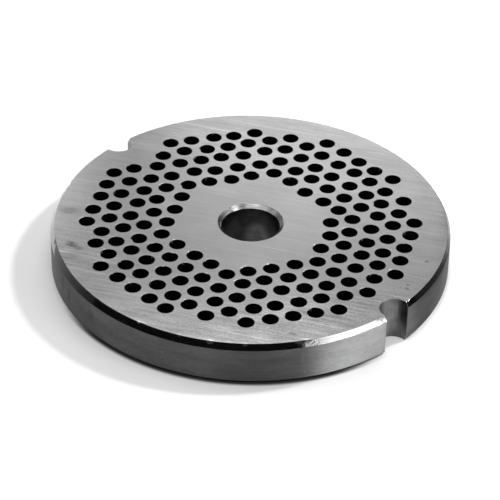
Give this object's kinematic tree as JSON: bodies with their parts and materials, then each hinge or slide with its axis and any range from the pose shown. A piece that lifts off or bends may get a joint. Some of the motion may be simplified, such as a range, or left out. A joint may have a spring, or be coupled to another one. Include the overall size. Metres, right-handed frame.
{
  "type": "meat grinder plate",
  "caption": "Round steel hole plate for a meat grinder, with a ring of small drilled holes, a central bore and two rim notches that stop it turning.",
  "frame": {"origin": "on the bore's axis, in the plane of the back face that the plate lies on", "axes": "+Z along the bore's axis, from the back face to the cutting face; X through the middle of both rim notches"},
  "size_m": [0.0818, 0.082, 0.0093],
  "materials": {
    "ground_steel": "ground, worn by use"
  },
  "bodies": {
    "root": {"grinder_plate": "ground_steel"}
  },
  "joints": []
}
